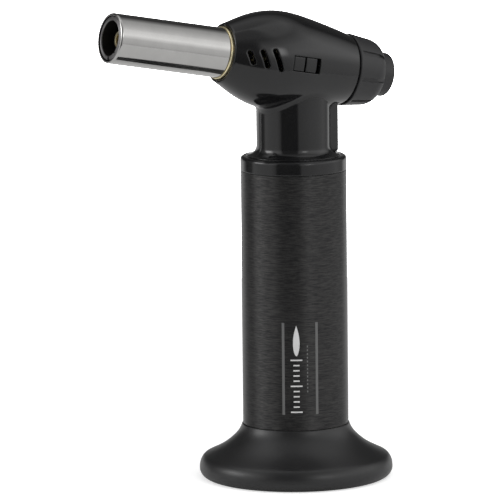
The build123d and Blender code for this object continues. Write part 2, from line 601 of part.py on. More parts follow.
with BuildPart() as needle_spindle:
    turn(
        (1.1, -36.0), (SPINDLE_R, -36.0), (SPINDLE_R, -8.2), (0.3, -6.3), (0, -6.3), (0, -30.5),
        (1.1, -30.5),
        about=HEAD,
    )
needle_spindle.part.label = "needle_spindle"
export_step(needle_spindle.part, "parts/needle_spindle.step")

with BuildPart() as gas_tube:
    inlet_end = INLET.from_local_coords((0, 0, 7.05))
    inlet_bend = INLET.from_local_coords((0, 0, 12.5))
    with BuildLine() as gas_route:
        FilletPolyline(
            (NIPPLE_END + 1.3, 0, NIPPLE_Z), (-11.1, 0, NIPPLE_Z), (-11.1, 0, 149.6), inlet_bend, inlet_end,
            radius=(1.6, 3.0, 3.0),
        )
    with BuildSketch(Plane(origin=gas_route.line @ 0, z_dir=gas_route.line % 0)) as tube_section:
        Circle(TUBE_OUTER_R)
        Circle(0.7, mode=Mode.SUBTRACT)
    sweep(tube_section.sketch, path=gas_route.line)
gas_tube.part.label = "gas_tube"
export_step(gas_tube.part, "parts/gas_tube.step")

with BuildPart() as flow_knob:
    with BuildSketch(HEAD_SIDE):
        with BuildLine():
            Polyline(
                (-36.0, SPINDLE_R), (KNOB_FRONT, SPINDLE_R), (KNOB_FRONT, 4.6), (-31.0, 4.6), (-31.0, 10.4),
                (KNOB_FRONT, 11.3), (KNOB_FRONT, KNOB_R - 0.5),
            )
            RadiusArc((KNOB_FRONT, KNOB_R - 0.5), (KNOB_FRONT - 0.5, KNOB_R), -0.5)
            Line((KNOB_FRONT - 0.5, KNOB_R), (KNOB_SHOULDER, KNOB_REAR_R))
            ThreePointArc((KNOB_SHOULDER, KNOB_REAR_R), (-35.2, 11.6), (KNOB_CAP_EDGE, 9.3))
            Polyline((KNOB_CAP_EDGE, 9.3), (KNOB_CAP_EDGE, 8.6), (KNOB_END + CAP_ROUND, 8.6))
            RadiusArc((KNOB_END + CAP_ROUND, 8.6), (KNOB_END, 8.6 - CAP_ROUND), -CAP_ROUND)
            Polyline(
                (KNOB_END, 8.6 - CAP_ROUND), (KNOB_END, CAP_R + 0.05), (CAP_SEAT, CAP_R + 0.05),
                (CAP_SEAT, 2.2), (-39.0, 2.2), (-39.0, 1.1), (-36.0, 1.1), (-36.0, SPINDLE_R),
            )
        make_face()
    revolve(axis=Axis(HEAD.origin, HEAD.z_dir))
    # grip channels, which deepen over the shoulder
    with BuildSketch(HEAD_SIDE) as channel:
        with BuildLine():
            Polyline(
                (KNOB_FRONT - 1.3, KNOB_R - 0.65), (KNOB_SHOULDER - 0.2, KNOB_REAR_R - 0.6), (-38.0, 8.9),
                (-38.0, 16.0), (KNOB_FRONT - 1.3, 16.0),
                close=True,
            )
        make_face()
    cutter = extrude(channel.sketch, amount=0.8, both=True, mode=Mode.PRIVATE)
    for groove in range(KNOB_GROOVES):
        angle = groove * 360 / KNOB_GROOVES - KNOB_GROOVE_TURN
        add(cutter.rotate(Axis(HEAD.origin, HEAD.z_dir), angle), mode=Mode.SUBTRACT)
flow_knob.part.label = "flow_knob"
export_step(flow_knob.part, "parts/flow_knob.step")

with BuildPart() as knob_screw:
    rod(HEAD, 1.1, -39.0, -31.0)
    rod(HEAD, 2.0, KNOB_END + 1.6, -39.0)
knob_screw.part.label = "knob_screw"
export_step(knob_screw.part, "parts/knob_screw.step")

with BuildPart() as knob_cap:
    turn(
        (0, CAP_SEAT), (0, KNOB_END + 0.15), (CAP_R - 0.5, KNOB_END + 0.15), (CAP_R, KNOB_END + 0.5),
        (CAP_R, CAP_SEAT),
        about=HEAD,
    )
knob_cap.part.label = "knob_cap"
export_step(knob_cap.part, "parts/knob_cap.step")

# ================================================================ burner
MIX_R = 3.2               # mixing tube
MOUNT_REAR = 28.6
MOUNT_FLOOR = 31.0
FLANGE_FRONT = HEAD_FRONT - HEAD_FRONT_WALL - 0.1
TUBE_SEAT_R = FLAME_TUBE_R - 0.22      # the flame tube is necked in where it sits in the mount
TUBE_NECK = 33.5
MOUNT_FRONT = 33.4
TUBE_WALL = 0.4
LIP_ROLL = 0.85           # the tube's end is rolled inwards by this much
SPIDER = 63.0             # disc that centres the mixing tube in the flame tube
LINER_REAR = 64.0
TIP_REAR = 66.5
TIP_SEAT = 69.5           # end of the mixing tube, inside the tip
TIP_FRONT = 77.6
LINER_R = 8.5
LINER_END = 81.45
LINER_MOUTH_R = 6.9
LINER_WALL = 0.5
SPARK_BELOW = -5.3        # the ignition electrode runs this far below the axis
SPARK_LINE = Plane(origin=on_burner_axis(0, SPARK_BELOW), x_dir=HEAD.x_dir, z_dir=HEAD.z_dir)

with BuildPart() as gas_jet:
    turn(
        (0.8, 0.5), (1.8, 0.5), (1.8, BLOCK_FRONT), (2.6, BLOCK_FRONT), (2.6, 7.0), (1.2, 8.2), (0.25, 8.2),
        (0.25, 7.0), (0.8, 6.0),
        about=HEAD,
    )
gas_jet.part.label = "gas_jet"
export_step(gas_jet.part, "parts/gas_jet.step")

with BuildPart() as mixing_tube:
    turn(
        (2.65, 4.4), (MIX_R, 4.4), (MIX_R, TIP_SEAT), (2.4, TIP_SEAT), (2.4, 8.6), (2.65, 8.3),
        about=HEAD,
    )
    for intake in (17.0, 20.5):
        rod(HEAD_SIDE, 1.2, -5, 5, centre=(intake, 0), mode=Mode.SUBTRACT)
mixing_tube.part.label = "mixing_tube"
export_step(mixing_tube.part, "parts/mixing_tube.step")

with BuildPart() as burner_mount:
    turn(
        (MIX_R, MOUNT_REAR), (10.8, MOUNT_REAR), (10.8, FLANGE_FRONT), (10.25, FLANGE_FRONT),
        (10.25, MOUNT_FRONT - 0.15), (10.1, MOUNT_FRONT), (TUBE_SEAT_R + 0.1, MOUNT_FRONT),
        (TUBE_SEAT_R, MOUNT_FRONT - 0.1), (TUBE_SEAT_R, MOUNT_FLOOR), (MIX_R, MOUNT_FLOOR),
        about=HEAD,
    )
    with BuildSketch(HEAD.offset(MOUNT_REAR - 1)):
        with PolarLocations(6.6, 8, start_angle=22.5):
            Circle(1.3)
        with Locations((0, SPARK_BELOW)):
            Circle(1.3)
    extrude(amount=5, mode=Mode.SUBTRACT)
burner_mount.part.label = "burner_mount"
export_step(burner_mount.part, "parts/burner_mount.step")

with BuildPart() as flame_tube:
    lip_start = FLAME_TUBE_END - LIP_ROLL
    lip_r = FLAME_TUBE_R - LIP_ROLL
    with BuildSketch(HEAD_SIDE):
        with BuildLine():
            Polyline(
                (lip_start, FLAME_TUBE_R - TUBE_WALL), (TUBE_NECK + 0.4, FLAME_TUBE_R - TUBE_WALL),
                (TUBE_NECK, TUBE_SEAT_R - TUBE_WALL), (MOUNT_FLOOR, TUBE_SEAT_R - TUBE_WALL),
                (MOUNT_FLOOR, TUBE_SEAT_R), (TUBE_NECK, TUBE_SEAT_R), (TUBE_NECK + 0.2, FLAME_TUBE_R),
                (lip_start, FLAME_TUBE_R),
            )
            RadiusArc((lip_start, FLAME_TUBE_R), (FLAME_TUBE_END, lip_r), LIP_ROLL)
            Line((FLAME_TUBE_END, lip_r), (FLAME_TUBE_END - 0.15, lip_r - 0.2))
            RadiusArc((FLAME_TUBE_END - 0.15, lip_r - 0.2), (lip_start, FLAME_TUBE_R - TUBE_WALL), -0.7)
        make_face()
    revolve(axis=Axis(HEAD.origin, HEAD.z_dir))
flame_tube.part.label = "flame_tube"
export_step(flame_tube.part, "parts/flame_tube.step")

with BuildPart() as spider:
    for radius, mode in ((FLAME_TUBE_R - TUBE_WALL, Mode.ADD), (MIX_R, Mode.SUBTRACT)):
        rod(HEAD, radius, SPIDER, LINER_REAR, mode=mode)
    with BuildSketch(HEAD.offset(SPIDER - 1)):
        with PolarLocations(6.3, 6, start_angle=30):
            Circle(1.4)
        with Locations((0, SPARK_BELOW)):
            Circle(1.3)
    extrude(amount=5, mode=Mode.SUBTRACT)
spider.part.label = "spider"
export_step(spider.part, "parts/spider.step")

with BuildPart() as flame_liner:
    turn(
        (LINER_R - LINER_WALL, LINER_REAR), (LINER_R, LINER_REAR), (LINER_R, LINER_END - 0.5),
        (LINER_R - 0.2, LINER_END - 0.25), (LINER_MOUTH_R + 0.2, LINER_END), (LINER_MOUTH_R, LINER_END - 0.2),
        (LINER_MOUTH_R, LINER_END - 0.7), (LINER_R - LINER_WALL, LINER_END - 0.9),
        about=HEAD,
    )
    # open seam where the sheet was rolled up, and a small notch in the rim's inner edge
    bar(HEAD, 1.3, 6, SPIDER, LINER_END + 1, centre=(0.9, -8.6), mode=Mode.SUBTRACT)
    notch_side = Plane(origin=HEAD.origin, x_dir=HEAD.x_dir - HEAD.y_dir, z_dir=HEAD.z_dir)
    bar(notch_side, 1.2, 1.0, LINER_END - 1.5, LINER_END + 1, centre=(LINER_MOUTH_R, 0), mode=Mode.SUBTRACT)
flame_liner.part.label = "flame_liner"
export_step(flame_liner.part, "parts/flame_liner.step")

with BuildPart() as burner_tip:
    turn(
        (MIX_R, TIP_REAR), (BURNER_R, TIP_REAR), (BURNER_R, TIP_FRONT - 0.5), (BURNER_R - 0.4, TIP_FRONT),
        (2.3, TIP_FRONT), (2.2, TIP_FRONT - 0.4), (2.2, TIP_SEAT), (MIX_R, TIP_SEAT),
        about=HEAD,
    )
burner_tip.part.label = "burner_tip"
export_step(burner_tip.part, "parts/burner_tip.step")

with BuildPart() as electrode_insulator:
    rod(SPARK_LINE, 1.3, 18.0, 66.0)
    rod(SPARK_LINE, 0.5, 17.0, 67.0, mode=Mode.SUBTRACT)
electrode_insulator.part.label = "electrode_insulator"
export_step(electrode_insulator.part, "parts/electrode_insulator.step")

with BuildPart() as electrode:
    rod(SPARK_LINE, 0.5, 16.0, 74.5)
electrode.part.label = "electrode"
export_step(electrode.part, "parts/electrode.step")

with BuildPart() as ignition_wire:
    with BuildLine() as wire_route:
        FilletPolyline(
            (-3.6, -2.8, IGNITER_Z + IGNITER_HALF), (-3.6, -2.8, 151.0), (-9.0, -1.6, 157.5),
            on_burner_axis(12.0, SPARK_BELOW), on_burner_axis(16.0, SPARK_BELOW),
            radius=(2.5, 3.0, 3.0),
        )
    with BuildSketch(Plane(origin=wire_route.line @ 0, z_dir=wire_route.line % 0)) as wire_section:
        Circle(0.6)
    sweep(wire_section.sketch, path=wire_route.line)
ignition_wire.part.label = "ignition_wire"
export_step(ignition_wire.part, "parts/ignition_wire.step")
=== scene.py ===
import json
from math import cos, pi, radians, sin

import bmesh
import bpy
from mathutils import Matrix, Vector


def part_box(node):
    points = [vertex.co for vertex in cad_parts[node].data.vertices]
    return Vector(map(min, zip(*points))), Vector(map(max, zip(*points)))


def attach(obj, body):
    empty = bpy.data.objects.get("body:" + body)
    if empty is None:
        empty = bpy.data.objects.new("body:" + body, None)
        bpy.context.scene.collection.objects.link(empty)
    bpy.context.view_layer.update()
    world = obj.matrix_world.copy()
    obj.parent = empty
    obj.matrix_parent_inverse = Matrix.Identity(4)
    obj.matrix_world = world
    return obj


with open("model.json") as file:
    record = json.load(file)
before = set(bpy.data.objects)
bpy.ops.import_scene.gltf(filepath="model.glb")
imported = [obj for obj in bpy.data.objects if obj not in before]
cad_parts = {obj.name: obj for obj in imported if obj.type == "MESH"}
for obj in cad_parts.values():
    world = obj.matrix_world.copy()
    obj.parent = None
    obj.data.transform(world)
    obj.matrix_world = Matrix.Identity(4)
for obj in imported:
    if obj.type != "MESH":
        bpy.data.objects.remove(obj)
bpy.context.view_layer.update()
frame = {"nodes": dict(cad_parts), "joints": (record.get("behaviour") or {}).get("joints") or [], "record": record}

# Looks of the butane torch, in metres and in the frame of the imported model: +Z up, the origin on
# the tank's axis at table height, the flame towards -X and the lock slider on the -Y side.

MM = 0.001

# ---------------------------------------------------------------- places taken from the frame
NODES = frame["nodes"]
RECORD = frame["record"]
SLOT_OF = {row["node"]: row["material_slot"] for row in RECORD["subparts"]}
_, SLEEVE_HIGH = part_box("tank_sleeve")
SLEEVE_R = SLEEVE_HIGH.x
KNOB_JOINT = next(joint for joint in frame["joints"] if joint["name"] == "knob_turn")
FLAME_DIR = -Vector(KNOB_JOINT["axis"])
MOUTH_DISTANCE = max(vert.co.dot(FLAME_DIR) for vert in NODES["flame_tube"].data.vertices)

# ---------------------------------------------------------------- camera
CAMERA_AZIMUTH = -28.83       # degrees
CAMERA_ELEVATION = 9.07
CAMERA_ROLL = -0.58
CAMERA_DISTANCE = 2362.3 * MM
CAMERA_ASIDE = -17.3 * MM     # the aiming point lies this far to the right of the tank's axis
CAMERA_HEIGHT = 89.7 * MM     # and this far above the table
CAMERA_LENS = 435.07          # millimetres, on a 36 mm sensor
SENSOR_WIDTH = 36.0
CLIP_START = 0.1
CLIP_END = 100.0


def camera_axes():
    """Directions to the right, up and back of the untilted camera."""
    azimuth = radians(CAMERA_AZIMUTH)
    elevation = radians(CAMERA_ELEVATION)
    back = Vector((sin(azimuth) * cos(elevation), -cos(azimuth) * cos(elevation), sin(elevation)))
    right = Vector((0, 0, 1)).cross(back).normalized()
    return right, back.cross(right), back


def add_camera():
    """Camera at a long distance with a long lens, looking a little down."""
    right, up, back = camera_axes()
    place = Vector((0, 0, CAMERA_HEIGHT)) + right * CAMERA_ASIDE + back * CAMERA_DISTANCE
    roll = radians(CAMERA_ROLL)
    across = right * cos(roll) + up * sin(roll)
    upward = up * cos(roll) - right * sin(roll)
    data = bpy.data.cameras.new("camera")
    data.lens = CAMERA_LENS
    data.sensor_width = SENSOR_WIDTH
    data.clip_start = CLIP_START
    data.clip_end = CLIP_END
    camera = bpy.data.objects.new("camera", data)
    turn = Matrix((across, upward, back)).transposed().to_4x4()
    camera.matrix_world = Matrix.Translation(place) @ turn
    bpy.context.scene.collection.objects.link(camera)
    bpy.context.scene.camera = camera


# ---------------------------------------------------------------- short way to write a node tree
class Graph:
    """Adds nodes to a tree. An input is a number, a colour or another node's output."""

    def __init__(self, tree):
        self.tree = tree
        tree.nodes.clear()

    def add(self, kind, inputs=None, **settings):
        made = self.tree.nodes.new("ShaderNode" + kind)
        for name, value in settings.items():
            setattr(made, name, value)
        for key, value in (inputs or {}).items():
            if isinstance(value, bpy.types.NodeSocket):
                self.tree.links.new(value, made.inputs[key])
            else:
                made.inputs[key].default_value = value
        return made

    def math(self, operation, first, second=0.0, third=0.0):
        return self.add("Math", {0: first, 1: second, 2: third}, operation=operation).outputs[0]

    def step(self, value, low, high, start=0.0, end=1.0):
        """Smooth rise from start to end while value goes from low to high."""
        inputs = {"Value": value, "From Min": low, "From Max": high, "To Min": start, "To Max": end}
        return self.add("MapRange", inputs, interpolation_type="SMOOTHSTEP").outputs[0]

    def dot(self, vector, direction):
        inputs = {0: vector, 1: direction}
        return self.add("VectorMath", inputs, operation="DOT_PRODUCT").outputs["Value"]

    def mix(self, share, first, second):
        """Colour mix of two colours or outputs."""
        return self.add("Mix", {0: share, 6: first, 7: second}, data_type="RGBA").outputs[2]

    def object_place(self):
        return self.add("TexCoord").outputs["Object"]

    def finish(self, inputs):
        """Ends a material in one shader with these inputs."""
        surface = self.add("BsdfPrincipled", inputs)
        self.add("OutputMaterial", {"Surface": surface.outputs[0]})


# ---------------------------------------------------------------- studio
# Levels are brightness, where 1 is plain white. Bearings are degrees to the right of the camera.
HALF_TURN = 180.0
CAMERA_WHITE = 4.0            # added to what the camera sees past the table, so that it stays white

# Along the horizon: soft boxes at -95...-40 and 15...115 with a dark card between them, dark behind
PANEL_BEARINGS = (
    (-128, 0.04), (-104, 0.20), (-96, 0.85), (-50, 0.80), (-40, 0.50), (-36, 0.10),
    (13, 0.10), (18, 0.60), (60, 0.80), (104, 0.80), (128, 0.30), (140, 0.04),
)
PANEL_HEIGHTS = ((-26, 0.75), (-10, 0.95), (4, 1.05), (19, 1.75), (36, 1.45), (52, 0.12), (60, 0.0))
# The ceiling above them
CEILING_BEARINGS = (
    (-150, 0.5), (-118, 1.2), (-72, 1.2), (-48, 0.42),
    (24, 0.42), (48, 0.85), (130, 0.85), (160, 0.5),
)
CEILING_HEIGHTS = ((38, 0.0), (60, 1.0))
# The white cloth rises a little way behind the torch
CLOTH_BEARINGS = ((-140, 0.8), (-122, 0.0), (126, 0.0), (138, 0.8))
CLOTH_HEIGHTS = ((2, 1.0), (9, 0.0))
# Two flash heads shine through the soft boxes
FLASH_BEARINGS = (
    (-100, 0.0), (-92, 4.5), (-78, 4.5), (-66, 0.0),
    (24, 0.0), (33, 2.2), (39, 2.2), (48, 0.0),
)
FLASH_HEIGHTS = ((10, 0.0), (18, 1.0), (26, 1.0), (34, 0.0))
SOURCES = (
    (CEILING_BEARINGS, CEILING_HEIGHTS),
    (PANEL_BEARINGS, PANEL_HEIGHTS),
    (CLOTH_BEARINGS, CLOTH_HEIGHTS),
    (FLASH_BEARINGS, FLASH_HEIGHTS),
)


def profile(graph, angle, stops):
    """Level that follows a few (degrees, level) stops."""
    share = graph.math("MULTIPLY_ADD", angle, 0.5 / HALF_TURN, 0.5)
    made = graph.add("ValToRGB", {"Fac": share})
    ramp = made.color_ramp
    while len(ramp.elements) < len(stops):
        ramp.elements.new(0.5)
    for element, (degrees, level) in zip(ramp.elements, stops):
        element.position = 0.5 + 0.5 * degrees / HALF_TURN
        element.color = (level, level, level, 1)
    return made.outputs["Color"]


def add_studio_light():
    """The studio round the torch, as a sky that depends on bearing and height only."""
    world = bpy.data.worlds.new("studio")
    bpy.context.scene.world = world
    world.use_nodes = True
    graph = Graph(world.node_tree)
    right, _, back = camera_axes()
    front = Vector((back.x, back.y, 0)).normalized()
    direction = graph.add("TexCoord").outputs["Generated"]
    bearing = graph.math("ARCTAN2", graph.dot(direction, right), graph.dot(direction, front))
    bearing = graph.math("DEGREES", bearing)
    height = graph.math("DEGREES", graph.math("ARCSINE", graph.dot(direction, (0, 0, 1))))
    light = 0.0
    for bearings, heights in SOURCES:
        across = profile(graph, bearing, bearings)
        light = graph.math("MULTIPLY_ADD", across, profile(graph, height, heights), light)
    seen = graph.add("LightPath").outputs["Is Camera Ray"]
    strength = graph.math("MULTIPLY_ADD", seen, CAMERA_WHITE, light)
    sky = graph.add("Background", {"Color": (1, 1, 1, 1), "Strength": strength})
    graph.add("OutputWorld", {"Surface": sky.outputs[0]})


KEY_WIDTH = 1.6
KEY_DEPTH = 1.2
KEY_ENERGY = 8.0              # watts
KEY_HEIGHT = 1.7              # above the table
KEY_ASIDE = 0.5               # to the right of the torch, and this far towards the camera:
KEY_FORWARD = 0.4
KEY_AIM = Vector((0, 0, 0.1))


def add_key_light():
    """Large soft panel overhead, which gives the foot its shadow on the table."""
    data = bpy.data.lights.new("key", "AREA")
    data.shape = "RECTANGLE"
    data.size = KEY_WIDTH
    data.size_y = KEY_DEPTH
    data.energy = KEY_ENERGY
    key = bpy.data.objects.new("key", data)
    right, _, back = camera_axes()
    key.location = Vector((0, 0, KEY_HEIGHT)) + right * KEY_ASIDE + back * KEY_FORWARD
    key.rotation_mode = "QUATERNION"
    key.rotation_quaternion = (key.location - KEY_AIM).to_track_quat("Z", "Y")
    key.visible_camera = False
    key.visible_glossy = False
    bpy.context.scene.collection.objects.link(key)


TABLE_R = 0.48
TABLE_SIDES = 128
TABLE_DROP = 0.02 * MM        # below the foot, so that the two faces never meet
TABLE_COLOUR = (0.80, 0.80, 0.80, 1)
TABLE_ROUGHNESS = 0.7
TABLE_GLOW = 0.08             # light the cloth gives off towards the torch
TABLE_WHITE = 0.50            # and what the camera sees on top of that


def add_table():
    """Plain round table top. Its white meets the white behind it."""
    mesh = bpy.data.meshes.new("table")
    form = bmesh.new()
    bmesh.ops.create_circle(form, cap_ends=True, radius=TABLE_R, segments=TABLE_SIDES)
    form.to_mesh(mesh)
    form.free()
    table = bpy.data.objects.new("table", mesh)
    table.location.z = -TABLE_DROP
    bpy.context.scene.collection.objects.link(table)
    material, graph = new_material("table_top")
    seen = graph.add("LightPath").outputs["Is Camera Ray"]
    graph.finish({
        "Base Color": TABLE_COLOUR,
        "Roughness": TABLE_ROUGHNESS,
        "Emission Color": (1, 1, 1, 1),
        "Emission Strength": graph.math("MULTIPLY_ADD", seen, TABLE_WHITE, TABLE_GLOW),
    })
    mesh.materials.append(material)


# ---------------------------------------------------------------- tools for the materials
BEVEL_SAMPLES = 6


def new_material(name):
    material = bpy.data.materials.new(name)
    material.use_nodes = True
    return material, Graph(material.node_tree)


def along_head(graph, place):
    """Coordinates with x along the burner's axis and z square to it."""
    tilt = FLAME_DIR.to_track_quat("X", "Z").to_matrix()
    parts = {index: graph.dot(place, tuple(axis)) for index, axis in enumerate(tilt.col)}
    return graph.add("CombineXYZ", parts).outputs[0]


def noise(graph, place, scale, detail=2.0, stretch=(1, 1, 1), rough=0.5):
    """Noise with so many features in a metre; a low stretch draws it out along that axis."""
    moved = graph.add("VectorMath", {0: place, 1: stretch}, operation="MULTIPLY").outputs[0]
    inputs = {"Vector": moved, "Scale": scale, "Detail": detail, "Roughness": rough}
    return graph.add("TexNoise", inputs).outputs["Fac"]


def shade(colour, factor):
    """The colour made darker or lighter."""
    return tuple(min(1.0, channel * factor) for channel in colour[:3]) + (1,)


def eased(graph, radius):
    """Surface direction with the sharp edges rounded."""
    return graph.add("Bevel", {"Radius": radius}, samples=BEVEL_SAMPLES).outputs[0]


def edge_mask(graph, rounded):
    """How much an edge is rounded here: 0 on a plain face, up to 1 on a sharp edge."""
    flat = graph.add("NewGeometry").outputs["Normal"]
    return graph.step(graph.dot(flat, rounded), 0.995, 0.90)


# ---------------------------------------------------------------- plastics
# Each has a colour, its roughness with how far that varies, and the grain of its skin, as grains in
# a metre with their height. Some have broader eased edges, or a slow ripple left by the mould.
PLASTICS = {
    "foot_plastic": {
        "colour": (0.009, 0.009, 0.0095), "gloss": (0.36, 0.05), "grain": (5200, 0.004 * MM),
    },
    "housing_gloss": {
        "colour": (0.0075, 0.0075, 0.008), "gloss": (0.10, 0.03), "grain": (3000, 0.0006 * MM),
        "edge": 0.7 * MM, "ripple": 2.0,
    },
    "knob_plastic": {
        "colour": (0.016, 0.016, 0.017), "gloss": (0.46, 0.06), "grain": (4200, 0.012 * MM),
        "edge": 0.4 * MM,
    },
    "trigger_plastic": {
        "colour": (0.016, 0.016, 0.017), "gloss": (0.46, 0.06), "grain": (4200, 0.010 * MM),
    },
    "igniter_plastic": {
        "colour": (0.04, 0.04, 0.044), "gloss": (0.25, 0.06), "grain": (3800, 0.003 * MM),
    },
    "seal_rubber": {
        "colour": (0.018, 0.018, 0.018), "gloss": (0.65, 0.08), "grain": (5000, 0.010 * MM),
    },
    "wire_cover": {
        "colour": (0.34, 0.035, 0.025), "gloss": (0.42, 0.06), "grain": (4200, 0.004 * MM),
    },
}
PLASTIC_EDGE = 0.25 * MM
PLASTIC_IOR = 1.5
WORN_SHADE = 2.56             # a rubbed edge is so many times lighter
RIPPLES = 160                 # in a metre


def plastic(name, colour, gloss, grain, edge=PLASTIC_EDGE, ripple=0.0):
    """Moulded plastic: mottled colour and gloss, a fine skin, eased edges that have gone paler."""
    material, graph = new_material(name)
    place = graph.object_place()
    rounded = eased(graph, edge)
    roughness, spread = gloss
    grains, grain_height = grain
    mottle = noise(graph, place, 90, detail=4.0)
    handling = noise(graph, place, 320, detail=5.0, rough=0.65)
    tone = graph.mix(mottle, shade(colour, 0.8), shade(colour, 1.2))
    rubbed = graph.math("MULTIPLY", edge_mask(graph, rounded), handling)
    tone = graph.mix(rubbed, tone, shade(colour, WORN_SHADE))
    relief = noise(graph, place, grains, detail=1.0)
    if ripple:
        relief = graph.math("MULTIPLY_ADD", noise(graph, place, RIPPLES, detail=0.0), ripple, relief)
    bump = graph.add("Bump", {"Height": relief, "Distance": grain_height, "Normal": rounded})
    graph.finish({
        "Base Color": tone,
        "Roughness": graph.math("MULTIPLY_ADD", handling, 2 * spread, roughness - spread),
        "IOR": PLASTIC_IOR,
        "Normal": bump.outputs[0],
    })
    return material


# ---------------------------------------------------------------- metals
# Each has a colour, its roughness with how far that varies, and its tool or drawing lines, as lines
# in a metre with their height. Brass parts are turned, and are browner in places.
METALS = {
    "tank_metal": {
        "colour": (0.66, 0.67, 0.69), "gloss": (0.30, 0.08), "lines": (2600, 0.004 * MM),
    },
    "polished_steel": {
        "colour": (0.47, 0.465, 0.455), "gloss": (0.07, 0.03), "lines": (2400, 0.0006 * MM),
    },
    "spring_steel": {
        "colour": (0.52, 0.52, 0.53), "gloss": (0.22, 0.06), "lines": (2600, 0.002 * MM),
    },
    "brass": {
        "colour": (0.98, 0.85, 0.56), "gloss": (0.30, 0.08), "lines": (3200, 0.002 * MM),
        "turned": True, "tarnish": (0.72, 0.48, 0.22, 1),
    },
}
METAL_EDGE = 0.15 * MM
LINE_STRETCH = (0.02, 1.0, 1.0)     # drawn along the burner's axis
TURNED_STRETCH = (1.0, 0.02, 0.02)  # or turned round it


def metal(name, colour, gloss, lines, turned=False, tarnish=None):
    """Metal with fine lines along the burner's axis or round it, smeared by handling."""
    material, graph = new_material(name)
    place = along_head(graph, graph.object_place())
    roughness, spread = gloss
    line_count, line_height = lines
    stretch = TURNED_STRETCH if turned else LINE_STRETCH
    scored = noise(graph, place, line_count, detail=3.0, stretch=stretch)
    smear = noise(graph, place, 140, detail=4.0, rough=0.6)
    tone = graph.mix(smear, shade(colour, 0.88), shade(colour, 1.08))
    if tarnish:
        tone = graph.mix(graph.step(smear, 0.5, 0.75, 0.0, 0.6), tone, tarnish)
    rounded = eased(graph, METAL_EDGE)
    bump = graph.add("Bump", {"Height": scored, "Distance": line_height, "Normal": rounded})
    graph.finish({
        "Base Color": tone,
        "Metallic": 1.0,
        "Roughness": graph.math("MULTIPLY_ADD", smear, 2 * spread, roughness - spread),
        "Normal": bump.outputs[0],
    })
    return material


STEEL_DARK = (0.20, 0.20, 0.205, 1)
STEEL_LIGHT = (0.30, 0.29, 0.285, 1)
# Painted shade in the burner's bore: the steel is painted black from just behind the mouth's rim inwards.
BORE_SHADE = (0.014, 0.013, 0.012, 1)
BORE_SHADE_START = 0.55 * MM        # behind the mouth's rim
BORE_SHADE_FULL = 1.3 * MM
BORE_SHADE_PATCHES = 0.5 * MM       # how unevenly it starts
STEEL_EDGE = 0.2 * MM


def shaded_burner_steel():
    """Burner steel: grey at the mouth's rim, with painted shade that turns it black and duller further into the
    bore.
    """
    material, graph = new_material("burner_steel")
    place = graph.object_place()
    from_mouth = graph.math("SUBTRACT", MOUTH_DISTANCE, graph.dot(place, tuple(FLAME_DIR)))
    patchy = noise(graph, place, 900, detail=4.0, rough=0.6)
    depth = graph.math("MULTIPLY_ADD", patchy, BORE_SHADE_PATCHES, from_mouth)
    # painted shade: full black the deeper the point lies inside the mouth
    bore_shade = graph.step(depth, BORE_SHADE_START, BORE_SHADE_FULL)
    bare = graph.mix(patchy, STEEL_DARK, STEEL_LIGHT)
    bare_gloss = graph.math("MULTIPLY_ADD", patchy, 0.14, 0.26)
    rounded = eased(graph, STEEL_EDGE)
    bump = graph.add("Bump", {"Height": patchy, "Distance": 0.02 * MM, "Normal": rounded})
    graph.finish({
        "Base Color": graph.mix(bore_shade, bare, BORE_SHADE),
        "Metallic": graph.step(depth, BORE_SHADE_FULL, BORE_SHADE_START, 0.35, 1.0),
        "Roughness": graph.math("MULTIPLY_ADD", bore_shade, 0.25, bare_gloss),
        "Normal": bump.outputs[0],
    })
    return material


SLEEVE_DARK = (0.028, 0.028, 0.029, 1)
SLEEVE_LIGHT = (0.064, 0.063, 0.062, 1)
FINE_STRETCH = (0.07, 0.07, 1.0)
COARSE_STRETCH = (0.09, 0.09, 1.0)
QUARTER_TURN = 0.25           # turns the spread of light from round the tank to along it


def brushed_sleeve():
    """Black anodised aluminium, brushed round the tank: light spreads up and down, not round."""
    material, graph = new_material("sleeve_anodised")
    place = graph.object_place()
    fine = noise(graph, place, 5200, detail=2.0, stretch=FINE_STRETCH, rough=0.6)
    coarse = noise(graph, place, 2300, detail=2.0, stretch=COARSE_STRETCH)
    broad = noise(graph, place, 60, detail=2.0, stretch=(1, 1, 0.4))
    lines = graph.math("MULTIPLY_ADD", graph.math("SUBTRACT", fine, coarse), 0.6, coarse)
    gloss = graph.math("MULTIPLY_ADD", lines, 0.12, 0.34)
    bump = graph.add("Bump", {"Height": lines, "Distance": 0.003 * MM})
    tangent = graph.add("Tangent", direction_type="RADIAL", axis="Z").outputs[0]
    graph.finish({
        "Base Color": graph.mix(graph.step(lines, 0.35, 0.65), SLEEVE_DARK, SLEEVE_LIGHT),
        "Metallic": 0.92,
        "Roughness": graph.math("MULTIPLY_ADD", broad, 0.05, gloss),
        "Anisotropic": 0.9,
        "Anisotropic Rotation": QUARTER_TURN,
        "Tangent": tangent,
        "Normal": bump.outputs[0],
    })
    return material


# ---------------------------------------------------------------- ceramic
GLAZE = (0.80, 0.78, 0.72, 1)
SPECKLE = (0.55, 0.50, 0.42, 1)


def ceramic():
    """Glazed white tube with a faint speckle."""
    material, graph = new_material("ceramic")
    place = graph.object_place()
    speckle = graph.step(noise(graph, place, 2600, detail=1.0), 0.62, 0.72)
    graph.finish({
        "Base Color": graph.mix(speckle, GLAZE, SPECKLE),
        "Roughness": graph.math("MULTIPLY_ADD", noise(graph, place, 400), 0.15, 0.12),
    })
    return material


# ---------------------------------------------------------------- materials onto the CAD nodes
def make_materials():
    """One material for each of the record's slots."""
    materials = {name: plastic(name, **look) for name, look in PLASTICS.items()}
    materials.update({name: metal(name, **look) for name, look in METALS.items()})
    materials["burner_steel"] = shaded_burner_steel()
    materials["sleeve_anodised"] = brushed_sleeve()
    materials["ceramic"] = ceramic()
    return materials


def dress_frame(materials):
    """Gives every CAD node the material of its slot."""
    for name, part in NODES.items():
        part.data.materials.clear()
        part.data.materials.append(materials[SLOT_OF[name]])


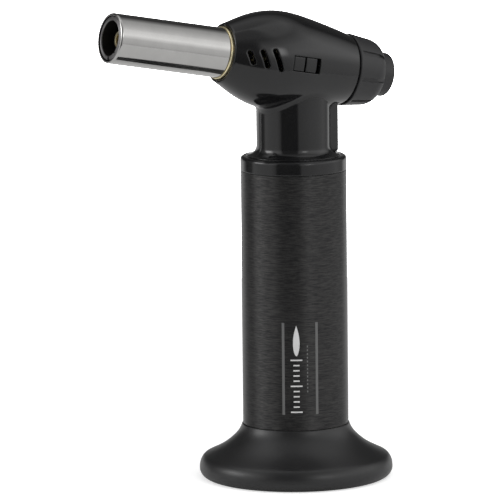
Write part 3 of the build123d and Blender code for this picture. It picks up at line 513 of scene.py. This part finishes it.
# ---------------------------------------------------------------- print on the sleeve
INK_HEIGHT = 0.03 * MM        # ink stands this far proud of the metal
INK_STEP = 0.8 * MM           # longer edges are halved, so that the ink follows the round sleeve
INK_PASSES = 2
INK_GREY = 0.13
INK_WHITE = 0.72


def on_sleeve(across, height):
    """Point on the ink at an arc length from the -Y side towards +X and a height."""
    turn = across / SLEEVE_R
    radius = SLEEVE_R + INK_HEIGHT
    return Vector((radius * sin(turn), -radius * cos(turn), height))


def arc_at(bearing):
    """Arc length on the sleeve of a bearing, in degrees from the -Y side towards +X."""
    return SLEEVE_R * radians(bearing)


def ink(name, level):
    """Pad-printed ink, a little uneven."""
    material, graph = new_material(name)
    colour = (level, level, level)
    patchy = noise(graph, graph.object_place(), 1400, detail=4.0)
    graph.finish({
        "Base Color": graph.mix(patchy, shade(colour, 0.86), shade(colour, 1.08)),
        "Roughness": graph.math("MULTIPLY_ADD", patchy, 0.2, 0.4),
    })
    return material


def printed_piece(name, outlines, material):
    """Flat outlines, each a list of (arc length, height), laid on the sleeve as thin ink."""
    mesh = bpy.data.meshes.new(name)
    form = bmesh.new()
    for outline in outlines:
        form.faces.new([form.verts.new((across, height, 0)) for across, height in outline])
    bmesh.ops.triangulate(form, faces=form.faces[:])
    for _ in range(INK_PASSES):
        long_edges = [edge for edge in form.edges if edge.calc_length() > INK_STEP]
        if long_edges:
            bmesh.ops.subdivide_edges(form, edges=long_edges, cuts=1)
            bmesh.ops.triangulate(form, faces=form.faces[:])
    for vert in form.verts:
        vert.co = on_sleeve(vert.co.x, vert.co.y)
    bmesh.ops.recalc_face_normals(form, faces=form.faces[:])
    form.to_mesh(mesh)
    form.free()
    piece = bpy.data.objects.new(name, mesh)
    bpy.context.scene.collection.objects.link(piece)
    mesh.materials.append(material)
    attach(piece, "root")
    return piece


def strip(centre, width, low, high):
    """Upright bar between two heights."""
    left = centre - width / 2
    right = centre + width / 2
    return [(left, low), (right, low), (right, high), (left, high)]


BAR_BEARINGS = (-42.2, -5.4)
BAR_WIDTH = 1.05 * MM
BAR_LOW = 27.8 * MM
BAR_HIGH = 64.1 * MM


def print_bars(material):
    """Two upright bars with the other marks between them."""
    bars = [strip(arc_at(bearing), BAR_WIDTH, BAR_LOW, BAR_HIGH) for bearing in BAR_BEARINGS]
    printed_piece("print_bars", bars, material)


MARK_BEARING = -28.0          # middle of the flame and the scale
FLAME_STEPS = 28
FLAME_LOW = 51.0 * MM
FLAME_WIDTH = 4.8 * MM
FLAME_TALL = 12.0 * MM


def print_flame(material):
    """A flame: round at the bottom, drawn out to a point at the top."""
    outline = []
    for index in range(FLAME_STEPS):
        turn = 2 * pi * index / FLAME_STEPS
        rise = (1 - cos(turn)) / 2
        side = sin(turn) * (1 - rise) ** 0.55 * (0.55 + 0.45 * rise)
        outline.append((arc_at(MARK_BEARING) + side * FLAME_WIDTH / 2, FLAME_LOW + rise * FLAME_TALL))
    printed_piece("print_flame", [outline], material)


TICK_COUNT = 11
TICK_LOW = 28.6 * MM
TICK_PITCH = 2.05 * MM
TICK_THICKNESS = 0.55 * MM
TICK_GROUP = 5                # every fifth tick is long
TICK_LONG = 4.6 * MM
TICK_SHORT = 2.4 * MM


def print_scale(material):
    """Level scale under the flame."""
    ticks = []
    for index in range(TICK_COUNT):
        low = TICK_LOW + index * TICK_PITCH
        width = TICK_SHORT if index % TICK_GROUP else TICK_LONG
        ticks.append(strip(arc_at(MARK_BEARING), width, low, low + TICK_THICKNESS))
    printed_piece("print_scale", ticks, material)


DASH_BEARING = -16.0
DASH_COUNT = 13
DASH_LOW = 36.6 * MM
DASH_PITCH = 1.48 * MM
DASH_WIDTH = 0.5 * MM
DASH_LENGTH = 0.75 * MM


def print_dashes(material):
    """Upright row of fine dashes beside the flame and the scale."""
    dashes = []
    for index in range(DASH_COUNT):
        low = DASH_LOW + index * DASH_PITCH
        dashes.append(strip(arc_at(DASH_BEARING), DASH_WIDTH, low, low + DASH_LENGTH))
    printed_piece("print_dashes", dashes, material)


def print_marks():
    """The generic marks on the sleeve, in two inks."""
    grey = ink("ink_grey", INK_GREY)
    white = ink("ink_white", INK_WHITE)
    print_bars(grey)
    print_flame(white)
    print_scale(white)
    print_dashes(grey)


# ---------------------------------------------------------------- put together
bpy.context.scene.view_settings.view_transform = "Standard"
add_camera()
add_studio_light()
add_key_light()
add_table()
dress_frame(make_materials())
print_marks()
